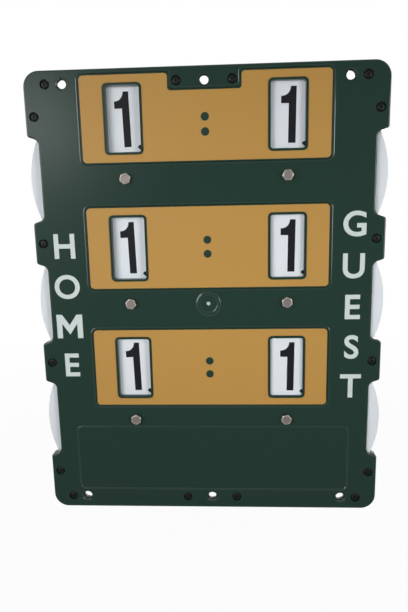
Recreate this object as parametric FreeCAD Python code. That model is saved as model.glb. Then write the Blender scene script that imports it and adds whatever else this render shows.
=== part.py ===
import FreeCAD
import Part
import math
import os

# Tennis scoreboard: two moulded covers, screwed together round six number discs.
# X points right, Z points up and the front faces -Y. The flat back lies in Y = 0,
# and the origin is its centre, on the axis through the middle of the six fixing holes.
# A level is a distance in front of the back face, so a point at a level has Y = -level.

Vector = FreeCAD.Vector
full_turn = 360.0
half_share = 0.5
overrun = 1.0

# Small rounds and the disc rims have flat sides, and small corners have two straight
# chords, which keeps the mesh light. Holes for fixing, bearings and large corners are round.
hexagon_sides = 6
small_sides = 8
rim_sides = 60
corner_chords = 2
arc_corner = 15.0

# Pivots of the number discs, in two columns and three rows
pivot_spacing = 208.6
row_pitch = 164.5
side_names = ["home", "guest"]
row_names = ["top", "middle", "bottom"]

# Number discs, in layers so that each row covers the discs of the row above.
# The right column starts side_layers in front of the left one.
disc_radius = 127.0
disc_thickness = 1.0
disc_gap = 0.5
side_layers = 2

# Pivot hardware: M8 screw, thin nut, spacer bush and two friction washers a disc
bolt_radius = 4.0
bolt_head_flats = 13.0
bolt_head_height = 5.3
bolt_hole_clearance = 0.2
bolt_head_turns = [12.0, 41.0, 3.0, 26.0, 52.0, 18.0]
thread_clearance = 0.05
nut_height = 4.0
nut_pocket_clearance = 0.2
nut_pocket_floor = 1.6
pivot_boss_radius = 10.5
bush_radius = 6.0
bush_fit = 0.05
washer_radius = 9.5
washer_thickness = 0.3
running_play = 0.1
boss_stand = 0.2

# Covers and the outline of the board, whose tabs the discs stick out between
disc_reach = 1.3
board_end_margin = 8.5
board_corner = 20.0
hollow_corner = 12.0
front_wall = 2.4
back_wall = 2.4
side_wall = 2.4
front_edge_bevel = 1.5

# Notches in both sides, where fingers turn the discs
notch_depth = 14.3
notch_floor_length = 100.8
notch_mouth_length = 110.6
notch_floor_corner = 8.0
notch_mouth_corner = 3.8
slot_gap = 0.4

# Windows, each with a raised lip in front and a tunnel that leads to its disc
window_width = 44.0
window_height = 82.0
window_corner = 3.0
window_rim_gap = 11.9
window_draft = 0.6
lip_width = 2.85
lip_bevel = 0.6
tunnel_wall = 1.6
tunnel_gap = 0.6

# Score panels and the recesses that they lie in
panel_side_margin = 54.0
panel_height = 107.0
panel_corner = 5.0
panel_thickness = 0.8
panel_window_gap = 0.15
recess_depth = 1.2
recess_ledge = 1.4
recess_bevel = 1.3
bridge_width = 93.0
bridge_depth = 20.9
bridge_corner = 4.0

# Name plate recess below the bottom row, left bare
plate_side_inset = 40.5
plate_top_drop = 12.0
plate_end_inset = 29.0
plate_corner = 7.0
plate_depth = 0.5
plate_bevel = 1.2

# Round dimple of the moulding gate in the middle of the front
gate_radius = 16.5
gate_depth = 0.6

# Rim of screws and fixing holes
rim_inset = 17.0
corner_screw_inset = 28.0
side_screw_inset = 11.5
side_screw_drop = 56.0
centre_screw_spacing = 70.0
fixing_side_inset = 49.0

# Fixing holes, each in the floor of a cup and wide open behind it
fixing_hole_radius = 5.25
fixing_cup_radius = 6.5
fixing_cup_depth = 5.0
fixing_floor = 2.4
fixing_back_radius = 8.8
fixing_tube_wall = 2.0
fixing_tube_gap = 0.3

# Case screws, sunk in cups of the front cover and driven into posts of the back cover
screw_radius = 2.0
screw_head_radius = 5.4
screw_head_height = 2.4
screw_hole_clearance = 0.3
cup_radius = 6.3
cup_depth = 3.0
cup_floor = 1.6
cup_wall = 1.5
post_size = 9.2
screw_tip_stand = 1.0
pilot_extra = 0.6

# Ribs inside the back cover
rib_width = 1.6
rib_gap = 0.9

# Sizes that follow from the ones above
row_count = len(row_names)
side_count = len(side_names)
middle_row = (row_count - 1) * half_share
middle_side = (side_count - 1) * half_share
pivot_x = pivot_spacing * half_share
half_width = pivot_x + disc_radius - disc_reach
half_height = middle_row * row_pitch + disc_radius + board_end_margin
layer_pitch = disc_thickness + disc_gap
layer_count = row_count + side_layers * (side_count - 1)
bearing_gap = running_play + washer_thickness
first_disc_level = nut_height + nut_pocket_floor + bearing_gap
stack_level = first_disc_level + layer_count * layer_pitch - disc_gap
front_inner_level = stack_level + bearing_gap + boss_stand
board_depth = front_inner_level + front_wall
seam_level = board_depth * half_share
back_middle_level = back_wall * half_share
front_middle_level = board_depth - front_wall * half_share
recess_level = board_depth - recess_depth
cup_level = board_depth - cup_depth
joint_level = cup_level - cup_floor
window_rise = disc_radius - window_rim_gap - window_height * half_share
rim_z = half_height - rim_inset


def column_x(side):
    """X of a column of pivots: 0 is the left one, 1 the right one."""
    return (side - middle_side) * pivot_spacing


def row_z(row):
    """Z of a row of pivots: 0 is the top one."""
    return (middle_row - row) * row_pitch


def disc_level(side, row):
    """Level of a disc's back face. Lower rows and the right side lie further forward."""
    return first_disc_level + (row + side * side_layers) * layer_pitch


def all_pivots():
    """Side and row of every disc."""
    return [(side, row) for side in range(side_count) for row in range(row_count)]


def corner_points(before, after, place, radius):
    """Points of one rounded corner, from its start to its end."""
    half_angle = math.acos(before.dot(after)) * half_share
    inward = (after - before).normalize()
    along = (before + after).normalize()
    centre = place + inward * (radius / math.cos(half_angle))
    points = []
    for index in range(corner_chords + 1):
        angle = half_angle * (index * 2 / corner_chords - 1)
        points.append(centre - inward * (radius * math.cos(angle)) + along * (radius * math.sin(angle)))
    return points


def rounded_wire(corners, level, grow=0.0):
    """Closed wire through corners (x, z, radius), listed anticlockwise, moved outwards by grow."""
    count = len(corners)
    points = [Vector(x, -level, z) for x, z, radius in corners]
    aheads = []
    for index in range(count):
        step = points[(index + 1) % count] - points[index]
        aheads.append(step.normalize())
    edges = []
    last_end = None
    for index in range(count):
        before = aheads[index - 1]
        after = aheads[index]
        out_sum = Vector(before.z + after.z, 0, -before.x - after.x)
        place = points[index] + out_sum * (grow / (1 + before.dot(after)))
        turn = before.x * after.z - before.z * after.x
        radius = corners[index][2] + math.copysign(grow, turn)
        bend = corner_points(before, after, place, radius)
        if last_end is None:
            first_start = bend[0]
        else:
            edges.append(Part.makeLine(last_end, bend[0]))
        if corners[index][2] < arc_corner:
            edges += [Part.makeLine(*pair) for pair in zip(bend, bend[1:])]
        else:
            edges.append(Part.Arc(bend[0], bend[corner_chords // 2], bend[-1]).toShape())
        last_end = bend[-1]
    edges.append(Part.makeLine(last_end, first_start))
    return Part.Wire(edges)


def prism(corners, low, high, grow=0.0):
    """Straight block with a rounded outline between two levels."""
    face = Part.Face(rounded_wire(corners, low, grow))
    return face.extrude(Vector(0, low - high, 0))


def tapered(corners, low, high, low_grow, high_grow):
    """Block whose outline changes evenly from one level to the other."""
    wires = [rounded_wire(corners, low, low_grow), rounded_wire(corners, high, high_grow)]
    return Part.makeLoft(wires, True, True)


def rectangle(x, z, width, height, corner):
    """Corners of a rounded rectangle about x, z."""
    across = width * half_share
    up = height * half_share
    signs = [(-1, -1), (1, -1), (1, 1), (-1, 1)]
    return [(x + across * right, z + up * above, corner) for right, above in signs]


def block(x_low, x_high, z_low, z_high, low, high):
    """Plain block between two levels."""
    return Part.makeBox(x_high - x_low, high - low, z_high - z_low, Vector(x_low, -high, z_low))


def rod(x, z, radius, low, high):
    """Cylinder along Y between two levels."""
    return Part.makeCylinder(radius, high - low, Vector(x, -low, z), Vector(0, -1, 0))


def many_sided(x, z, flats, sides, low, high, turn=0.0):
    """Regular block along Y with a number of sides and a width across flats."""
    radius = flats * half_share / math.cos(math.pi / sides)
    points = []
    for index in range(sides + 1):
        angle = math.radians(full_turn * (index + half_share) / sides + turn)
        points.append(Vector(x + radius * math.cos(angle), -low, z + radius * math.sin(angle)))
    return Part.Face(Part.makePolygon(points)).extrude(Vector(0, low - high, 0))


def joined(shapes):
    """One shape from many."""
    return shapes[0].multiFuse(shapes[1:])


def board_corners(corner):
    """Outline of the board with its six side notches, for a radius of its four corners."""
    floor_x = half_width - notch_depth
    floor = notch_floor_length * half_share
    mouth = notch_mouth_length * half_share
    notch = [
        (half_width, -mouth, notch_mouth_corner),
        (floor_x, -floor, notch_floor_corner),
        (floor_x, floor, notch_floor_corner),
        (half_width, mouth, notch_mouth_corner),
    ]
    right_side = [(half_width, -half_height, corner)]
    for row in reversed(range(row_count)):
        right_side += [(x, row_z(row) + z, radius) for x, z, radius in notch]
    right_side.append((half_width, half_height, corner))
    return right_side + [(-x, z, radius) for x, z, radius in reversed(right_side)]


def window_corners(side, row):
    """Clear opening of a window."""
    centre_z = row_z(row) + window_rise
    return rectangle(column_x(side), centre_z, window_width, window_height, window_corner)


def panel_corners(row):
    """Outline of a score panel. The top one is cut away round the top fixings."""
    right = pivot_x + panel_side_margin
    low = row_z(row) + window_rise - panel_height * half_share
    high = low + panel_height
    if row > 0:
        return rectangle(0, low + panel_height * half_share, right * 2, panel_height, panel_corner)
    bridge = bridge_width * half_share
    right_half = [
        (right, low, panel_corner),
        (right, high, panel_corner),
        (bridge, high, bridge_corner),
        (bridge, high - bridge_depth, bridge_corner),
    ]
    return right_half + [(-x, z, radius) for x, z, radius in reversed(right_half)]


def plate_corners():
    """Outline of the bare recess under the bottom row."""
    width = (half_width - plate_side_inset) * 2
    high = row_z(row_count - 1) - plate_top_drop
    low = -half_height + plate_end_inset
    return rectangle(0, (high + low) * half_share, width, high - low, plate_corner)


def screw_places():
    """Each case screw as (x, z, web x, web z), where the web runs to the side wall."""
    corner_x = half_width - corner_screw_inset
    side_x = half_width - side_screw_inset
    middle_wall = side_wall * half_share
    to_side = side_screw_inset - middle_wall
    to_end = rim_inset - middle_wall
    places = []
    for right in (-1, 1):
        for above in (-1, 1):
            places.append((right * corner_x, above * rim_z, 0, above * to_end))
            places.append((right * centre_screw_spacing * half_share, above * rim_z, 0, above * to_end))
            side_z = above * (half_height - side_screw_drop)
            places.append((right * side_x, side_z, right * to_side, 0))
            places.append((right * side_x, above * row_pitch * half_share, right * to_side, 0))
    return places


def fixing_places():
    """Centres of the six holes that the board is fastened through."""
    fixing_x = half_width - fixing_side_inset
    return [(x, above * rim_z) for x in (-fixing_x, 0, fixing_x) for above in (-1, 1)]


def notch_zone(side, row, low, high):
    """Block round one side notch between two levels, wide enough for the whole wall."""
    mouth = notch_mouth_length * half_share
    inner = half_width - notch_depth - side_wall - overrun
    outer = half_width + overrun
    right = math.copysign(1, column_x(side))
    x_low = min(right * inner, right * outer)
    z = row_z(row)
    return block(x_low, x_low + outer - inner, z - mouth, z + mouth, low, high)


def casing():
    """Closed hollow casing, before it is split into its two covers."""
    solid = prism(board_corners(board_corner), 0, board_depth)
    front_edges = [edge for edge in solid.Edges if -edge.BoundBox.YMax > front_middle_level]
    solid = solid.makeChamfer(front_edge_bevel, front_edges)
    hollow = prism(board_corners(hollow_corner), back_wall, front_inner_level, -side_wall)
    return solid.cut(hollow)


def everything(low, high):
    """Block larger than the board between two levels."""
    reach = half_width + half_height
    return block(-reach, reach, -reach, reach, low, high)


def front_part(shape):
    """Part of the casing in front of the seam, which steps round the disc slots."""
    removed = everything(-overrun, seam_level)
    for side, row in all_pivots():
        slot_front = disc_level(side, row) + disc_thickness + slot_gap
        removed = removed.cut(notch_zone(side, row, -overrun, board_depth))
        removed = removed.fuse(notch_zone(side, row, -overrun, slot_front))
    return shape.cut(removed)


def back_part(shape):
    """Part of the casing behind the seam, which steps round the disc slots."""
    removed = everything(seam_level, board_depth + overrun)
    for side, row in all_pivots():
        slot_back = disc_level(side, row) - slot_gap
        removed = removed.cut(notch_zone(side, row, 0, board_depth + overrun))
        removed = removed.fuse(notch_zone(side, row, slot_back, board_depth + overrun))
    return shape.cut(removed)


def panel_recess(row):
    """Cutter for the recess of a score panel, which leaves the window lips standing."""
    slope = recess_bevel / recess_depth
    high_grow = recess_ledge + recess_bevel + slope * overrun
    recess = tapered(panel_corners(row), recess_level, board_depth + overrun, recess_ledge, high_grow)
    lip_top = lip_width - lip_bevel - lip_bevel / recess_depth * overrun
    for side in range(side_count):
        window = window_corners(side, row)
        recess = recess.cut(tapered(window, recess_level, board_depth + overrun, lip_width, lip_top))
    return recess


def make_front_cover(shell):
    """Front cover: recesses, window lips and tunnels, pivot bosses, screw cups and fixing tubes."""
    added = [front_part(shell)]
    removed = []
    above_front = board_depth + overrun
    for side, row in all_pivots():
        x = column_x(side)
        z = row_z(row)
        disc_front = disc_level(side, row) + disc_thickness
        tunnel_end = disc_front + tunnel_gap
        window = window_corners(side, row)
        added.append(prism(window, tunnel_end, front_middle_level, tunnel_wall))
        removed.append(tapered(window, tunnel_end - overrun, above_front, -window_draft, 0))
        boss_end = disc_front + bearing_gap
        boss_flats = pivot_boss_radius * 2
        bolt_flats = (bolt_radius + bolt_hole_clearance) * 2
        added.append(many_sided(x, z, boss_flats, small_sides, boss_end, front_middle_level))
        removed.append(many_sided(x, z, bolt_flats, small_sides, boss_end - overrun, above_front))
    for x, z, web_x, web_z in screw_places():
        cup_flats = cup_radius * 2
        shank_flats = (screw_radius + screw_hole_clearance) * 2
        outer_flats = cup_flats + cup_wall * 2
        added.append(many_sided(x, z, outer_flats, hexagon_sides, joint_level, front_middle_level))
        removed.append(many_sided(x, z, cup_flats, small_sides, cup_level, above_front))
        removed.append(many_sided(x, z, shank_flats, hexagon_sides, joint_level - overrun, board_depth))
    fixing_cup_level = board_depth - fixing_cup_depth
    for x, z in fixing_places():
        tube_flats = (fixing_back_radius + fixing_tube_wall) * 2
        added.append(many_sided(x, z, tube_flats, small_sides, 0, front_middle_level))
        removed.append(many_sided(x, z, fixing_cup_radius * 2, small_sides, fixing_cup_level, above_front))
        removed.append(rod(x, z, fixing_hole_radius, 0, board_depth))
        back_flats = fixing_back_radius * 2
        back_end = fixing_cup_level - fixing_floor
        removed.append(many_sided(x, z, back_flats, small_sides, -overrun, back_end))
    removed += [panel_recess(row) for row in range(row_count)]
    plate_top = board_depth + plate_depth
    removed.append(tapered(plate_corners(), board_depth - plate_depth, plate_top, -plate_bevel, plate_bevel))
    removed.append(rod(0, 0, gate_radius, board_depth - gate_depth, above_front))
    return joined(added).cut(joined(removed))


def web(x, z, web_x, web_z):
    """Rib from a screw post's centre to the middle of the side wall, as high as the seam."""
    half = rib_width * half_share
    x_low = min(x, x + web_x) - half
    x_high = max(x, x + web_x) + half
    z_low = min(z, z + web_z) - half
    z_high = max(z, z + web_z) + half
    return block(x_low, x_high, z_low, z_high, back_middle_level, seam_level)


def back_ribs():
    """Grid of low ribs through the pivot bosses."""
    half = rib_width * half_share
    high = first_disc_level - rib_gap
    strips = []
    for side in range(side_count):
        x = column_x(side)
        strips.append(block(x - half, x + half, -half_height, half_height, back_middle_level, high))
    for row in range(row_count):
        z = row_z(row)
        strips.append(block(-half_width, half_width, z - half, z + half, back_middle_level, high))
    limit = prism(board_corners(hollow_corner), back_middle_level, high, -side_wall * half_share)
    return joined(strips).common(limit)


def make_back_cover(shell):
    """Back cover: rib grid, pivot bosses with nut pockets and screw posts."""
    added = [back_part(shell), back_ribs()]
    removed = []
    for side, row in all_pivots():
        x = column_x(side)
        z = row_z(row)
        boss_end = disc_level(side, row) - bearing_gap
        boss_flats = pivot_boss_radius * 2
        bolt_flats = (bolt_radius + bolt_hole_clearance) * 2
        pocket_flats = bolt_head_flats + nut_pocket_clearance * 2
        added.append(many_sided(x, z, boss_flats, small_sides, back_middle_level, boss_end))
        removed.append(many_sided(x, z, pocket_flats, hexagon_sides, -overrun, nut_height))
        removed.append(many_sided(x, z, bolt_flats, small_sides, 0, boss_end + overrun))
    half = post_size * half_share
    for x, z, web_x, web_z in screw_places():
        added.append(block(x - half, x + half, z - half, z + half, back_middle_level, joint_level))
        added.append(web(x, z, web_x, web_z))
        pilot_end = back_wall + screw_tip_stand - pilot_extra
        pilot_flats = (screw_radius + thread_clearance) * 2
        removed.append(many_sided(x, z, pilot_flats, hexagon_sides, pilot_end, joint_level + overrun))
    for x, z in fixing_places():
        tube_flats = (fixing_back_radius + fixing_tube_wall + fixing_tube_gap) * 2
        removed.append(many_sided(x, z, tube_flats, small_sides, -overrun, board_depth))
    return joined(added).cut(joined(removed))


def make_score_panel(row):
    """Thin coloured panel with an opening round each window lip."""
    top = recess_level + panel_thickness
    panel = prism(panel_corners(row), recess_level, top)
    grow = lip_width + panel_window_gap
    for side in range(side_count):
        window = window_corners(side, row)
        panel = panel.cut(prism(window, recess_level - overrun, board_depth, grow))
    return panel


def make_disc(side, row):
    """Flat number disc with a bearing hole."""
    x = column_x(side)
    z = row_z(row)
    low = disc_level(side, row)
    high = low + disc_thickness
    hole = rod(x, z, bush_radius + bush_fit, low - overrun, high + overrun)
    return many_sided(x, z, disc_radius * 2, rim_sides, low, high).cut(hole)


def make_bush(side, row):
    """Spacer bush that the disc turns on, clamped between the two bosses."""
    x = column_x(side)
    z = row_z(row)
    low = disc_level(side, row) - bearing_gap
    high = low + disc_thickness + bearing_gap * 2
    bore_flats = (bolt_radius + bolt_hole_clearance) * 2
    bore = many_sided(x, z, bore_flats, small_sides, low - overrun, high + overrun)
    return rod(x, z, bush_radius, low, high).cut(bore)


def make_washers(side, row):
    """Friction washers on both faces of a disc."""
    x = column_x(side)
    z = row_z(row)
    back = disc_level(side, row) - bearing_gap
    front = disc_level(side, row) + disc_thickness + running_play
    bore_flats = (bush_radius + bush_fit) * 2
    washers = []
    for low in (back, front):
        high = low + washer_thickness
        bore = many_sided(x, z, bore_flats, small_sides, low - overrun, high + overrun)
        washers.append(many_sided(x, z, washer_radius * 2, small_sides, low, high).cut(bore))
    return Part.makeCompound(washers)


def make_pivot_bolt(x, z, turn):
    """Hexagon-head screw, its tip level with the back face."""
    top = board_depth + bolt_head_height
    head = many_sided(x, z, bolt_head_flats, hexagon_sides, board_depth, top, turn)
    return head.fuse(many_sided(x, z, bolt_radius * 2, small_sides, 0, board_depth + overrun))


def make_pivot_nut(x, z):
    """Thin hexagon nut in the pocket of its boss."""
    bore_flats = (bolt_radius + thread_clearance) * 2
    bore = many_sided(x, z, bore_flats, small_sides, -overrun, nut_height + overrun)
    return many_sided(x, z, bolt_head_flats, hexagon_sides, 0, nut_height).cut(bore)


def make_case_screw(x, z):
    """Screw with a flat round head."""
    top = cup_level + screw_head_height
    tip = back_wall + screw_tip_stand
    head = many_sided(x, z, screw_head_radius * 2, small_sides, cup_level, top)
    return head.fuse(many_sided(x, z, screw_radius * 2, hexagon_sides, tip, cup_level + overrun))


def build():
    """Every piece by its name."""
    shell = casing()
    pieces = {
        "front_cover": make_front_cover(shell),
        "back_cover": make_back_cover(shell),
    }
    for row, row_name in enumerate(row_names):
        pieces["score_panel_" + row_name] = make_score_panel(row)
    bolts = []
    nuts = []
    for index, (side, row) in enumerate(all_pivots()):
        name = side_names[side] + "_" + row_names[row]
        x = column_x(side)
        z = row_z(row)
        pieces["number_disc_" + name] = make_disc(side, row)
        pieces["pivot_bush_" + name] = make_bush(side, row)
        pieces["friction_washers_" + name] = make_washers(side, row)
        bolts.append(make_pivot_bolt(x, z, bolt_head_turns[index]))
        nuts.append(make_pivot_nut(x, z))
    pieces["pivot_bolts"] = Part.makeCompound(bolts)
    pieces["pivot_nuts"] = Part.makeCompound(nuts)
    screws = [make_case_screw(x, z) for x, z, web_x, web_z in screw_places()]
    pieces["case_screws"] = Part.makeCompound(screws)
    return pieces


os.makedirs("parts", exist_ok=True)
for piece_name, piece in build().items():
    piece.exportStep("parts/" + piece_name + ".step")
    box = piece.BoundBox
    print(piece_name, len(piece.Solids), piece.isValid(), round(piece.Volume), box)
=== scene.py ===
import math

import bmesh
import bpy
from mathutils import Color, Matrix, Vector


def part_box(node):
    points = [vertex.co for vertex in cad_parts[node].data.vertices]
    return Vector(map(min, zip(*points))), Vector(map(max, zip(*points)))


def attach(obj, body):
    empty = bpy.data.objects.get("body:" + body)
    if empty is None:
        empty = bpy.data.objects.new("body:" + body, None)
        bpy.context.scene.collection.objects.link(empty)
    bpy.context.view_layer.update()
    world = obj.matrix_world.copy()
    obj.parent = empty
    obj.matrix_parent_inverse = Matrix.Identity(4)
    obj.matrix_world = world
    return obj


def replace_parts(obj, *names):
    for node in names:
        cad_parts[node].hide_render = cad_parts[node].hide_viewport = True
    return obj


# Tennis scoreboard. Metres, X right, Z up, the front faces -Y, the flat back lies in Y = 0.
# A level is a distance in front of the back face.

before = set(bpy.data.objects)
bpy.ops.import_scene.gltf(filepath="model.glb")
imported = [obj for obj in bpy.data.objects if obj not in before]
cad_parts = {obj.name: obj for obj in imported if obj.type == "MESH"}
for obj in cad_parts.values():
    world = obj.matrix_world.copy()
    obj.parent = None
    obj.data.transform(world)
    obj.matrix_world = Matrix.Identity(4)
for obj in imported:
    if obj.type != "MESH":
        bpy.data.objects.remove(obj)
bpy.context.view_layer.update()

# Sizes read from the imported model
board_low, board_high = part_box("front_cover")
half_width = board_high.x
half_height = board_high.z
depth = -board_low.y
sides = ("home", "guest")
rows = ("top", "middle", "bottom")
places = [(side, row) for side in sides for row in rows]
disc_boxes = {place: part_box("number_disc_%s_%s" % place) for place in places}
panel_boxes = {row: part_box("score_panel_" + row) for row in rows}

# Moulded covers
board_corner = 0.020
front_round = 0.0022
back_round = 0.0015
wall = 0.0024
seam_level = depth / 2
edge_round = 0.0003
notch_depth = 0.0143
notch_floor_half = 0.0504
notch_mouth_half = 0.0553
notch_floor_corner = 0.008
notch_mouth_corner = 0.0038
slot_reach = 0.0012
slot_gap = 0.0004
pivot_boss_radius = 0.0105

# Windows, panels and their recesses
window_size = (0.044, 0.082)
window_corner = 0.003
window_rise = 0.0741
window_flare = 0.0006
lip_width = 0.00285
tunnel_wall = 0.0016
tunnel_gap = 0.0006
panel_gap = 0.00015
panel_corner = 0.005
panel_edge_round = 0.00025
recess_depth = 0.0012
recess_ledge = 0.0014
recess_slope = 0.0013
rim_height = 0.00025
rim_top = 0.0005
rim_slope = 0.0009
bridge_half = 0.0465
bridge_drop = 0.0209
bridge_corner = 0.004

# Bare name place
plate_side_inset = 0.0405
plate_top_drop = 0.012
plate_end_inset = 0.029
plate_corner = 0.007
plate_depth = 0.0005
plate_slope = 0.0012

# Sections of the gate mark, its bead and the fixing holes, as radii and heights above the
# cover's face in millimetres. A fixing hole has a rim and a cup in front, a narrow bore in the
# cup's floor, and a wide one behind.
gate_section = ((0, 16.0), (17.5, 16.0), (17.5, 0), (16.5, -0.8), (0, -0.8))
bead_section = (
    (0, -1.2), (17.0, -1.2), (17.0, -0.6), (16.1, -0.4), (15.7, -0.15), (15.0, 0.12), (13.9, 0.2),
    (12.7, 0.05), (11.9, -0.2), (11.1, -0.45), (9.9, -0.55), (8.6, -0.52), (7.9, -0.36),
    (7.1, -0.34), (6.4, -0.52), (3.7, -0.55), (2.7, -0.3), (2.025, 0.05), (1.08, 0.2), (0, 0.25),
)
fixing_section = (
    (0, 2.4), (8.3, 2.4), (8.3, 0), (7.8, -0.5), (7.0, -0.5), (6.5, -1.0), (6.3, -5.0),
    (5.25, -5.0), (5.25, -7.4), (8.7, -7.4), (8.8, -18.4), (0, -18.4),
)
gate_drop = 0.0012
# Radius of the gate's middle dome, which carries a painted highlight, and the soft edge of that
# highlight.
gate_dome_radius = 0.0027
painted_gate_highlight_soft = 0.0006
rim_inset = 0.017
fixing_inset = 0.049
fixing_tube_radius = 0.0108
fixing_tube_gap = 0.0003

# Case screws, their cups and posts. The dome gives shares of the head's radius, and drops.
corner_screw_inset = 0.028
side_screw_inset = 0.0115
side_screw_drop = 0.056
centre_screw_x = 0.035
row_half_pitch = 0.08225
cup_radius = 0.0063
cup_level = depth - 0.003
cup_floor = 0.0016
post_radius = 0.0046
shank_gap = 0.0003
pilot_gap = 0.00005
pilot_end_gap = 0.0006
screw_head_radius = 0.0054
screw_head_height = 0.0024
screw_dome = ((0, 0), (0.42, 0.00004), (0.68, 0.00022), (0.86, 0.0006), (0.96, 0.0011), (1, 0.0016))
screw_round = 0.0001
screw_shank_radius = 0.002
screw_neck = 0.001
screw_thread = {"cut": 0.0004, "pitch": 0.0009}
screw_thread_end = 0.0012
screw_tip_level = 0.0034
screw_tip_height = 0.001
screw_tip_radius = 0.0007
screw_turn_step = 0.61
socket_flats = 0.0032
socket_depth = 0.0015

# Pivot bolts and nuts
bolt_radius = 0.004
bolt_gap = 0.0002
bolt_flats = 0.013
bolt_head_height = 0.0053
bolt_face_height = 0.0003
bolt_face_radius = 0.0063
bolt_face_sink = 0.00015
bolt_chamfer = 0.0004
bolt_rim_width = 0.0011
bolt_dish_depth = 0.0003
bolt_thread = {"cut": 0.0006, "pitch": 0.00125}
bolt_thread_end = 0.0012
bolt_point = 0.0007
bolt_turns = (12, 41, 3, 26, 52, 18)
nut_height = 0.004
nut_back = 0.0001
nut_play = 0.00005
nut_countersink = 0.0006
hexagon_round = 0.00012
hexagon = 6
flat_share = math.cos(math.pi / hexagon)
hexagon_corner = bolt_flats / 2 / flat_share
chamfer_reach = 0.02
chamfer_angle = 30
thread_crest = 0.2
thread_root = 0.7

# Discs and the print, with the outlines of two digits in millimetres
disc_bore_radius = 0.00605
disc_edge_round = 0.00018
disc_rest_turn = {"home": -1.3, "guest": 0.8}
print_thickness = 0.00006
print_lift = print_thickness * 0.3
dot_sink = print_thickness * 0.2
digit_height = 0.0685
digit_count = 8
digit_foot = 0.040
digit_squeeze = 0.72
one_outline = (
    (-0.1, 0), (9.3, 0), (9.3, 68.5), (2.2, 68.5), (1.7, 65.2), (0.6, 62.4), (-1.2, 60.0),
    (-3.5, 58.2), (-6.4, 57.2), (-9.8, 56.8), (-9.8, 48.0), (-0.1, 48.0),
)
four_outline = (
    (7.6, 0), (7.6, 14.5), (13.4, 14.5), (13.4, 23.5), (7.6, 23.5), (7.6, 68.5), (-2.4, 68.5),
    (-13.4, 24.5), (-13.4, 14.5), (-1.2, 14.5), (-1.2, 0),
)
four_eye = ((-1.2, 23.5), (-1.2, 53.0), (-7.2, 23.5))
words = {"home": "HOME", "guest": "GUEST"}
letter_height = 0.033
letter_pitch = 0.0547
letter_x = 0.1905
letter_z = {"home": -0.0035, "guest": -0.0078}
letter_boldness = 0.02
dot_radius = 0.00525
dot_half_gap = 0.0092
dot_rise = {"top": 0.2297, "middle": 0.0749, "bottom": -0.0902}

# Fineness: how close points lie that count as one, angles in degrees, steps and sides
mm_per_m = 1000
touching = 1e-5
exact = 1e-6
curve_weld = 1e-4
smooth_angle = 35
sharp_angle = 40
face_weight = 100
soft_steps = 2
slab_corner_steps = 6
inner_corner_steps = 5
board_corner_steps = 12
round_steps = 4
back_round_steps = 3
letter_steps = 6
hole_sides = 24
screw_sides = 32
round_sides = 48
bore_sides = 64
gate_sides = 96
slot_sides = 128
disc_sides = 192
draw_shares = ((0.15, 0.05), (0.7, 0.9), (0.15, 0.05))

# Surface effects, with noise in cells a metre
face_map_name = "face"
socket_kind = "NodeSocketFloat"
grain_cells = 1500.0
grain_detail = 3.0
cloud_cells = 7.0
cloud_detail = 4.0
cloud_contrast = 1.8
cloud_lift = 0.5
scuff_cells = 40.0
scuff_detail = 3.0
scuff_stretch = (0.6, 1, 16)
scuff_start = 0.62
scuff_patch_cells = 11.0
scuff_patch_detail = 1.0
scuff_patch_start = 0.5
scuff_gain = 60.0
scuff_roughness = 0.18
ring_pitch = 9000.0
ring_height = 0.5
slope_start = 0.005
slope_width = 0.02
polished_roughness = 0.12
relief_distance = 0.0001
mix_share, mix_first, mix_second = 0, 6, 7
mix_result = 2

# Stage. Lamps have a name, place, size, power and spread.
camera_place = (0.03582, -0.76285, 0.14336)
camera_right = (0.99842, 0.052, -0.02133)
camera_ahead = (-0.05515, 0.97953, -0.19362)
camera_lens = 33.45
camera_film_height = 36
camera_near = 0.01
world_strength = 0.2
lamps = (
    ("key light", (-0.91, -2.1, 0.48), 0.35, 5.0, 180),
    ("right light", (1.09, -0.96, 0.15), 0.6, 1.05, 50),
    ("left light", (-0.87, -0.96, 0.2), 0.8, 1.5, 50),
    ("back light", (0.5, 3.0, 0.5), 1.5, 5.0, 45),
)
floor_size = 30
floor_tone = (0.86, 0.86, 0.86, 1)
floor_bounce = (0.7, 0.7, 0.7, 1)
floor_shown = 0.93
clear_distance = 1.2
white = (1, 1, 1, 1)


def at(x, level, z):
    """Point at a level in front of the back face."""
    return Vector((x, -level, z))


def pivot(place):
    """X and Z of a disc's pivot."""
    low, high = disc_boxes[place]
    return (low.x + high.x) / 2, (low.z + high.z) / 2


def faces_of(place):
    """Levels of a disc's back and front."""
    low, high = disc_boxes[place]
    return -high.y, -low.y


def corners_of(points):
    """Low and high corner of the box round some points."""
    return Vector(map(min, *points)), Vector(map(max, *points))


def deselect():
    bpy.ops.object.select_all(action="DESELECT")


def only(obj):
    """Makes obj the one selected and active object."""
    deselect()
    obj.select_set(True)
    bpy.context.view_layer.objects.active = obj


def settle(obj, name):
    """Names obj and puts its place, turn and size into its mesh."""
    only(obj)
    bpy.ops.object.transform_apply(location=True, rotation=True, scale=True)
    obj.name = name
    obj.data.name = name
    return obj


def block(name, low, high):
    """Block between two corners."""
    deselect()
    low, high = corners_of((low, high))
    bpy.ops.mesh.primitive_cube_add(size=1, location=(low + high) / 2)
    obj = bpy.context.object
    obj.scale = high - low
    return settle(obj, name)


def rod(name, x, z, radius, low, high, count=round_sides, top_radius=None):
    """Round or many-sided rod along Y between two levels, which may taper to top_radius."""
    deselect()
    bpy.ops.mesh.primitive_cone_add(
        vertices=count, radius1=radius, radius2=radius if top_radius is None else top_radius,
        depth=high - low, location=at(x, (low + high) / 2, z), rotation=(math.pi / 2, 0, 0),
    )
    return settle(bpy.context.object, name)


def rods(name, centres, *size):
    """Equal rods, one at each centre."""
    return [rod(name, x, z, *size) for x, z in centres]


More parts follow.
